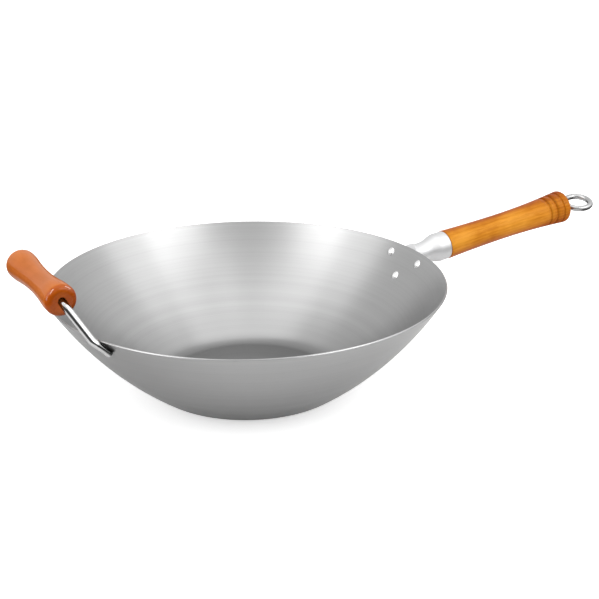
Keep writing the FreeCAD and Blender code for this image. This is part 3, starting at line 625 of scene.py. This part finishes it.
def ramp(material, factor, stops):
    node = addNode(material, "ShaderNodeValToRGB")
    join(material, factor, node.inputs["Fac"])
    bands, stops = node.color_ramp.elements, list(stops)
    while len(bands) < len(stops):
        bands.new(0.5)
    for band, (at, colour) in zip(bands, stops):
        band.position = at
        band.color = (*colour, 1)
    return node.outputs["Color"]


def noise(material, vector, scale, detail=3.0, roughness=0.5, distortion=0.0, dimensions="3D"):
    node = addNode(material, "ShaderNodeTexNoise", noise_dimensions=dimensions)
    join(material, vector, node.inputs["Vector" if dimensions != "1D" else "W"])
    node.inputs["Scale"].default_value = scale
    node.inputs["Detail"].default_value = detail
    node.inputs["Roughness"].default_value = roughness
    node.inputs["Distortion"].default_value = distortion
    return node.outputs["Fac"]


def splitVector(material, vector, part):
    node = addNode(material, "ShaderNodeSeparateXYZ")
    join(material, vector, node.inputs[0])
    return node.outputs[part]


def mixColours(material, factor, colour, tint):
    # multiplies the colour by the tint as far as the factor says
    node = addNode(material, "ShaderNodeMix", data_type="RGBA", blend_type="MULTIPLY")
    join(material, factor, node.inputs["Factor"])
    join(material, colour, node.inputs["A"])
    node.inputs["B"].default_value = (*tint, 1)
    return node.outputs["Result"]


def between(material, value, low, high, start, end):
    # a smooth step from start to end
    node = addNode(material, "ShaderNodeMapRange", interpolation_type="SMOOTHSTEP")
    join(material, value, node.inputs["Value"])
    limits = {"From Min": low, "From Max": high, "To Min": start, "To Max": end}
    for name, number in limits.items():
        node.inputs[name].default_value = number
    return node.outputs["Result"]


def roughen(material, shader, height, strength, depth):
    # fine relief, its depth in millimetres
    bump = addNode(material, "ShaderNodeBump")
    bump.inputs["Strength"].default_value = strength
    bump.inputs["Distance"].default_value = depth / metre
    join(material, height, bump.inputs["Height"])
    join(material, bump.outputs["Normal"], shader.inputs["Normal"])


def vary(material, shader, height, low, high):
    # an uneven roughness
    rough = addNode(material, "ShaderNodeMapRange")
    join(material, height, rough.inputs["Value"])
    rough.inputs["To Min"].default_value, rough.inputs["To Max"].default_value = low, high
    join(material, rough.outputs["Result"], shader.inputs["Roughness"])


def vectorMath(material, operation, first, second=None):
    node = addNode(material, "ShaderNodeVectorMath", operation=operation)
    join(material, first, node.inputs[0])
    if second is not None:
        node.inputs[1].default_value = second
    return node.outputs["Value" if operation in ("LENGTH", "DOT_PRODUCT") else "Vector"]


steelFinish = {
    "colour": 0.38,
    "paintedFloorShade": 0.64,  # painted shade: the flat inside is darkened below the wall's tone
    "floorEdge": (0.002, 0.009),  # heights between which the shade lifts, in metres
    # painted shade: the inside darkens a little low on the wall, towards the flat
    "paintedKneeShade": 0.88,
    "kneeEdge": (0.006, 0.04),
    "paintedFootShade": 0.75,  # painted shade: the outside darkens towards the foot
    "footEdge": (-0.01, 0.09),
    "roughness": 0.345,
    "anisotropic": 0.56,
    "linesPerMetre": 900.0,
    "bandsPerMetre": 90.0,
    "bandShare": 0.5,  # of the lines' pattern
    "lineStops": (0.3, 0.7),
    "lineTone": (0.94, 1.05),
    "lineDepth": 0.02,
    "lineStrength": 0.35,
}


def spunSteel():
    s = steelFinish
    material, shader = newMaterial("spunSteel")
    coordinates = addNode(material, "ShaderNodeTexCoord")
    place = coordinates.outputs["Object"]
    flat = vectorMath(material, "MULTIPLY", place, (1, 1, 0))
    join(material, flat, shader.inputs["Tangent"])
    out = vectorMath(material, "LENGTH", flat)
    height = splitVector(material, place, "Z")
    # the tool's path: distance along the wall, near enough radius plus height
    path = mathNode(material, "ADD", out, height)
    fine = noise(material, path, s["linesPerMetre"], detail=2, roughness=0.6, dimensions="1D")
    broad = noise(material, path, s["bandsPerMetre"], detail=3, roughness=0.6, dimensions="1D")
    lines = mathNode(material, "ADD",
                     mathNode(material, "MULTIPLY", fine, 1 - s["bandShare"]),
                     mathNode(material, "MULTIPLY", broad, s["bandShare"]))
    tones = [[s["colour"] * tone] * 3 for tone in s["lineTone"]]
    tone = ramp(material, lines, zip(s["lineStops"], tones))
    # painted shade in the base colour: inside, darker at the knee and on the flat; outside, darker
    # towards the foot
    facing = splitVector(material, coordinates.outputs["Normal"], "Z")
    shade = addNode(material, "ShaderNodeMix")
    join(material, mathNode(material, "LESS_THAN", facing, 0), shade.inputs["Factor"])
    knee = between(material, height, *s["kneeEdge"], s["paintedKneeShade"], 1)
    base = between(material, height, *s["floorEdge"], s["paintedFloorShade"] / s["paintedKneeShade"], 1)
    join(material, mathNode(material, "MULTIPLY", knee, base), shade.inputs["A"])
    join(material, between(material, height, *s["footEdge"], s["paintedFootShade"], 1),
         shade.inputs["B"])
    shaded = addNode(material, "ShaderNodeVectorMath", operation="SCALE")
    join(material, tone, shaded.inputs[0])
    join(material, shade.outputs["Result"], shaded.inputs["Scale"])
    join(material, shaded.outputs[0], shader.inputs["Base Color"])
    shader.inputs["Metallic"].default_value = 1
    shader.inputs["Roughness"].default_value = s["roughness"]
    shader.inputs["Anisotropic"].default_value = s["anisotropic"]
    roughen(material, shader, fine, s["lineStrength"], s["lineDepth"])
    return material


castFinish = {
    "colour": (0.63, 0.63, 0.635, 1),
    "roughness": (0.46, 0.6),
    "patchesPerMetre": 260,
    "grainsPerMetre": 1400,
    "grainDepth": 0.06,
    "grainStrength": 0.25,
}


def castAluminium():
    s = castFinish
    material, shader = newMaterial("castAluminium")
    place = addNode(material, "ShaderNodeTexCoord").outputs["Object"]
    shader.inputs["Base Color"].default_value = s["colour"]
    shader.inputs["Metallic"].default_value = 1
    patches = noise(material, place, s["patchesPerMetre"], detail=4, roughness=0.55)
    vary(material, shader, patches, *s["roughness"])
    grains = noise(material, place, s["grainsPerMetre"], detail=3, roughness=0.6)
    roughen(material, shader, grains, s["grainStrength"], s["grainDepth"])
    return material


platingFinish = {
    "colour": 0.66,
    "roughness": 0.07,
    "unevenness": (0.6, 1.7),
    "patchesPerMetre": 420,
}

# painted shade and dark reflection on the upper side of the rod's feet
paintedRodFootShade = {
    "colour": 0.13,
    "start": (2.0, 6.0),  # past the rod's last bend
    "edge": (-0.2, 1.3),  # up the slope from the foot's middle
}


def brightMetal(name, colour, roughness):
    s = platingFinish
    material, shader = newMaterial(name)
    place = addNode(material, "ShaderNodeTexCoord").outputs["Object"]
    shader.inputs["Base Color"].default_value = (colour, colour, colour, 1)
    shader.inputs["Metallic"].default_value = 1
    patches = noise(material, place, s["patchesPerMetre"], detail=3, roughness=0.6)
    vary(material, shader, patches, *(roughness * share for share in s["unevenness"]))
    return material


def platingWithPaintedShade():
    # bright plating, with painted shade and dark reflection on the upper side of each foot
    material = brightMetal("brightPlating", platingFinish["colour"], platingFinish["roughness"])
    place = addNode(material, "ShaderNodeTexCoord").outputs["Object"]
    folded = vectorMath(material, "ABSOLUTE", place)
    along = (rodFoot - rodBend).normalized()
    lift = Vector((0, 0, 1))
    wide = (lift - along * lift.dot(along)).normalized()
    reach = []
    for axis, start, edge in ((along, rodBend, paintedRodFootShade["start"]),
                              (wide, rodFoot, paintedRodFootShade["edge"])):
        # the rod stands at negative X throughout, and both feet fold on to one
        distance = vectorMath(material, "DOT_PRODUCT", folded, (-axis.x, axis.y, axis.z))
        low, high = [(axis.dot(start) + limit) / metre for limit in edge]
        reach.append(between(material, distance, low, high, 0, 1))
    tint = addNode(material, "ShaderNodeMix")
    join(material, mathNode(material, "MULTIPLY", *reach), tint.inputs["Factor"])
    tint.inputs["A"].default_value = platingFinish["colour"]
    tint.inputs["B"].default_value = paintedRodFootShade["colour"]
    shader = material.node_tree.nodes["Principled BSDF"]
    join(material, tint.outputs["Result"], shader.inputs["Base Color"])
    return material


woodGrain = {  # what both woods share
    "stretch": (0.11, 1, 1),  # the figure is drawn out along the turning
    "heart": (0, 0.017, 0.041),  # the growth rings' middle lies outside the turning, in metres
    "ringsPerMetre": 95,
    "ringBend": 7,
    "ringDetail": 4,
    "ringDetailScale": 0.45,
    "cloudsPerMetre": 26,
    "streaksPerMetre": 140,
    "fibresPerMetre": 900,
    "toneStops": (0.39, 0.5, 0.61),
    # where the painted edge shade begins and ends
    "paintedShadeFrom": (0.35, 0.98),
    "roughness": 0.45,
    "sheenTint": (1, 0.62, 0.3, 1),
    "coatIor": 1.65,
    "fibreDepth": 0.08,
    "fibreStrength": 0.25,
}


def lacqueredWood(name, centre, tilt, heading, tones, finish):
    # grain that runs along the turning, under a clear lacquer
    s = woodGrain
    material, shader = newMaterial(name)
    coordinates = addNode(material, "ShaderNodeTexCoord")
    mapping = addNode(material, "ShaderNodeMapping", vector_type="TEXTURE")
    mapping.inputs["Location"].default_value = [value / metre for value in centre]
    mapping.inputs["Rotation"].default_value = (0, math.radians(tilt), math.radians(heading))
    join(material, coordinates.outputs["Object"], mapping.inputs["Vector"])
    turned = mapping.outputs[0]
    along = vectorMath(material, "MULTIPLY", turned, s["stretch"])
    rings = addNode(material, "ShaderNodeTexWave", wave_type="RINGS", rings_direction="X")
    join(material, vectorMath(material, "ADD", along, s["heart"]), rings.inputs["Vector"])
    rings.inputs["Scale"].default_value = s["ringsPerMetre"]
    rings.inputs["Distortion"].default_value = s["ringBend"]
    rings.inputs["Detail"].default_value = s["ringDetail"]
    rings.inputs["Detail Scale"].default_value = s["ringDetailScale"]
    cloud = noise(material, turned, s["cloudsPerMetre"], detail=3, roughness=0.55)
    soft = noise(material, along, s["streaksPerMetre"], detail=4, roughness=0.6, distortion=0.3)
    fibre = noise(material, along, s["fibresPerMetre"], detail=3, roughness=0.7)
    shares = (
        (finish["rings"], rings.outputs["Fac"]),
        (finish["cloud"], cloud),
        (finish["soft"], soft),
        (finish["fibre"], fibre),
    )
    total = sum(share for share, part in shares)
    figure = 0.0
    for share, part in shares:
        figure = mathNode(material, "MULTIPLY_ADD", part, share / total, figure)
    tone = ramp(material, figure, zip(s["toneStops"], tones))
    # end grain drinks more stain, and the turned far end a little
    turn, rise = math.radians(heading), math.radians(-tilt)
    axis = (math.cos(rise) * math.cos(turn), math.cos(rise) * math.sin(turn), math.sin(rise))
    facing = vectorMath(material, "DOT_PRODUCT", coordinates.outputs["Normal"], axis)
    across = between(material, mathNode(material, "ABSOLUTE", facing), *finish["endFrom"], 0, 1)
    late = between(material, splitVector(material, turned, "X"), *finish["lateFrom"],
                   0, finish["late"])
    stained = mixColours(material, mathNode(material, "MAXIMUM", across, late), tone,
                         finish["endGrain"])
    # painted shade: the turning is darkened by a tint where it turns away from one facing, which
    # stays pale
    radial = vectorMath(material, "MULTIPLY", turned, (0, 1, 1))
    outwards = vectorMath(material, "NORMALIZE", radial)
    flank = vectorMath(material, "DOT_PRODUCT", outwards, finish["unshadedFacing"])
    paintedEdgeShade = between(material, mathNode(material, "ABSOLUTE", flank), *s["paintedShadeFrom"], 1, 0)
    join(material, mixColours(material, paintedEdgeShade, stained, finish["paintedEdgeShade"]),
         shader.inputs["Base Color"])
    shader.inputs["Roughness"].default_value = s["roughness"]
    shader.inputs["Specular IOR Level"].default_value = finish["sheen"]
    shader.inputs["Specular Tint"].default_value = s["sheenTint"]
    shader.inputs["Coat Weight"].default_value = finish["coat"]
    shader.inputs["Coat IOR"].default_value = s["coatIor"]
    shader.inputs["Coat Roughness"].default_value = finish["coatRoughness"]
    roughen(material, shader, fibre, s["fibreStrength"], s["fibreDepth"])
    return material


stageSizes = {
    "floorRadius": 9000.0,
    "floorColour": 0.88,
    "floorRoughness": 0.9,
    "floorSheen": 0.1,
    "floorLift": 0.55,  # seen but not cast, so that the floor reads white and keeps its shadow
    "mirroredLift": 0.12,
    "worldLight": 0.6,
    "farFloor": (0.37, 0.47),  # where the mirrored floor falls off, in metres
    "farShare": 0.06,
    "leftOf": (0.866, -0.5, 0),
    "leftEdge": (-0.2, 0.02),
    "leftFloor": 0.8,
    "lampsAbout": (0, 0, 0.08),
}

lamps = {
    # azimuth and elevation seen from the bowl, distance, width, height, watts
    "leftPanel": (188, 36, 1.7, 0.8, 0.95, 7.4),
    "leftWing": (157, 34, 1.7, 1.0, 0.95, 4.0),
    "leftFill": (215, 40, 1.7, 0.3, 0.8, 0.4),
    "rightFill": (270, 64, 1.7, 0.35, 0.6, 0.7),
    "rightPanel": (296, 36, 1.7, 1.0, 0.95, 8.8),
    "rightWing": (331, 34, 1.7, 1.0, 0.95, 4.2),
    "rightFar": (8, 36, 1.7, 1.0, 0.95, 0.9),
    "topPanel": (243, 90, 1.9, 2.2, 1.2, 9.0),
}

glints = {  # strips that only the lacquered grip catches
    "leftGlint": (212, 44, 1.7, 0.34, 0.9, 23.0),
    "rightGlint": (352, 40, 1.7, 0.42, 0.9, 30.0),
    "leftLow": (188, 6, 1.7, 0.6, 0.7, 12.0),
}


def hangLamps(lamps, shownTo=None):
    for name, (azimuth, elevation, distance, width, height, watts) in lamps.items():
        data = bpy.data.lights.new(name, "AREA")
        data.shape = "RECTANGLE"
        data.size, data.size_y = width, height
        data.energy = watts
        lamp = bpy.data.objects.new(name, data)
        across, up = math.radians(azimuth), math.radians(elevation)
        away = Vector((math.cos(across) * math.cos(up), math.sin(across) * math.cos(up),
                       math.sin(up)))
        lamp.location = away * distance + Vector(stageSizes["lampsAbout"])
        lamp.rotation_mode = "QUATERNION"
        lamp.rotation_quaternion = away.to_track_quat("Z", "Y")
        bpy.context.scene.collection.objects.link(lamp)
        if shownTo:
            lamp.light_linking.receiver_collection = shownTo


room = {
    "azimuth": 240,
    "height": (0.23, 0.3),  # sines of the elevations between which the dark side ends
    "wrap": (0.45, 0.75),
    "darkness": 0.95,
}


def lightPaths(material):
    # what the camera sees, and what is mirrored or seen through glass
    path = addNode(material, "ShaderNodeLightPath")
    mirrored = mathNode(material, "MAXIMUM", path.outputs["Is Glossy Ray"],
                        path.outputs["Is Transmission Ray"])
    return path.outputs["Is Camera Ray"], mirrored


def paintWorld():
    world = bpy.data.worlds.new("studio")
    world.use_nodes = True
    bpy.context.scene.world = world
    # the unlit side of the room, low down behind the camera, which only bright metal shows
    place = addNode(world, "ShaderNodeTexCoord").outputs["Generated"]
    turn = math.radians(room["azimuth"])
    facing = vectorMath(world, "DOT_PRODUCT", place, (math.cos(turn), math.sin(turn), 0))
    below = between(world, splitVector(world, place, "Z"), *room["height"], 1, 0)
    side = between(world, facing, *room["wrap"], 0, 1)
    dark = mathNode(world, "MULTIPLY", below, side)
    camera, mirrored = lightPaths(world)
    seen = mathNode(world, "MAXIMUM", camera, mirrored)
    level = mathNode(world, "MULTIPLY_ADD", seen, 1 - stageSizes["worldLight"],
                     stageSizes["worldLight"])
    shown = mathNode(world, "MULTIPLY", mathNode(world, "MULTIPLY", dark, mirrored),
                     room["darkness"])
    backdrop = world.node_tree.nodes["Background"]
    join(world, mathNode(world, "SUBTRACT", level, shown), backdrop.inputs["Strength"])
    backdrop.inputs["Color"].default_value = (1, 1, 1, 1)


def layFloor():
    s = stageSizes
    mesh = bmesh.new()
    bmesh.ops.create_circle(mesh, cap_ends=True, segments=64, radius=s["floorRadius"])
    floor = linkPiece("floor", mesh)
    material, shader = newMaterial("paleFloor")
    shader.inputs["Roughness"].default_value = s["floorRoughness"]
    shader.inputs["Specular IOR Level"].default_value = s["floorSheen"]
    shader.inputs["Emission Color"].default_value = (1, 1, 1, 1)
    camera, mirrored = lightPaths(material)
    # in a mirror the floor falls off with distance, and a little to the left
    spot = addNode(material, "ShaderNodeTexCoord").outputs["Object"]
    far = between(material, vectorMath(material, "LENGTH", spot), *s["farFloor"],
                  1, s["farShare"])
    left = between(material, vectorMath(material, "DOT_PRODUCT", spot, s["leftOf"]),
                   *s["leftEdge"], s["leftFloor"], 1)
    kept = mathNode(material, "MULTIPLY", far, left)
    shown = addNode(material, "ShaderNodeMix")
    join(material, mirrored, shown.inputs["Factor"])
    shown.inputs["A"].default_value = 1
    join(material, kept, shown.inputs["B"])
    tone = addNode(material, "ShaderNodeVectorMath", operation="SCALE")
    tone.inputs[0].default_value = [s["floorColour"]] * 3
    join(material, shown.outputs["Result"], tone.inputs["Scale"])
    join(material, tone.outputs[0], shader.inputs["Base Color"])
    lift = mathNode(material, "MULTIPLY_ADD", mathNode(material, "MULTIPLY", mirrored, kept),
                    s["mirroredLift"], mathNode(material, "MULTIPLY", camera, s["floorLift"]))
    join(material, lift, shader.inputs["Emission Strength"])
    dress(floor, material)


placeCamera()
paintWorld()
hangLamps(lamps)
layFloor()
print("camera, floor and lamps are set")

steel = spunSteel()
casting = castAluminium()
plating = platingWithPaintedShade()
satinWire = brightMetal("satinWire", 0.43, 0.26)
rivetMetal = brightMetal("rivetSteel", 0.82, 0.2)
honeyTones = ((0.42, 0.125, 0.005), (0.56, 0.205, 0.014), (0.68, 0.285, 0.03))
honeyFinish = {
    "rings": 0.12, "cloud": 1.0, "soft": 0.9, "fibre": 0.55,  # shares of the figure
    "sheen": 0.1, "coat": 0.06, "coatRoughness": 0.2,
    "endGrain": (0.78, 0.55, 0.4), "endFrom": (0.93, 0.995),
    # the facing kept pale, and the tint of painted shade on the edges
    "unshadedFacing": (0, -0.906, 0.42), "paintedEdgeShade": (0.66, 0.41, 0.17),
    "lateFrom": (0.12, 0.19), "late": 0.35,
}
redTones = ((0.235, 0.059, 0.0045), (0.265, 0.07, 0.009), (0.29, 0.083, 0.014))
redFinish = {
    "rings": 0.1, "cloud": 1.0, "soft": 0.4, "fibre": 0.2,
    "sheen": 0.05, "coat": 0.28, "coatRoughness": 0.08,
    "endGrain": (0.78, 0.55, 0.09), "endFrom": (0.15, 0.5),
    # the facing kept pale, and the tint of painted shade on the sides
    "unshadedFacing": (0, 0, 1), "paintedEdgeShade": (0.92, 0.85, 0.8),
    "lateFrom": (1, 2), "late": 0,
}
# painted shade: the slots' faces are painted nearly black, for the shade inside them
paintedSlotShadeTones = [[part * 0.12 for part in tone] for tone in redTones]
slotShadeFinish = {**redFinish, "coat": 0, "endGrain": (1, 1, 1)}
honey = lacqueredWood("honeyWood", handleStart, -handleLine["tilt"], 0, honeyTones, honeyFinish)
redder = lacqueredWood("redderWood", gripLine, 0, 90, redTones, redFinish)
slotShade = lacqueredWood("slotShadeWood", gripLine, 0, 90, paintedSlotShadeTones, slotShadeFinish)


def stand(piece, node, slot, *materials):
    dress(piece, *materials)
    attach(piece, "root")
    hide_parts(node)


stand(makeBowl(), "wok_bowl", "bowl_steel", steel, brightMetal("trimmedEdge", 0.74, 0.22))
print("the bowl is turned")
stand(makeCasting(), "handle_socket", "cast_socket", casting)
for node, rivet in makeRivets().items():
    stand(rivet, node, "rivet_steel", rivetMetal)
print("the socket is cast and riveted")
stand(makeLongHandle(), "long_handle", "handle_wood", honey)
stand(makeEyeRod(), "hanging_eye_rod", "plated_rod", satinWire)
print("the long handle and its eye are on")
stand(makeHelperRod(), "helper_rod", "plated_rod", plating)
grip = makeGrip()
stand(grip, "helper_grip", "grip_wood", redder, slotShade)
lacquered = bpy.data.collections.new("lacquered")
lacquered.objects.link(grip)
hangLamps(glints, lacquered)
print("the helper handle is on")

bpy.context.scene.view_settings.view_transform = "Standard"
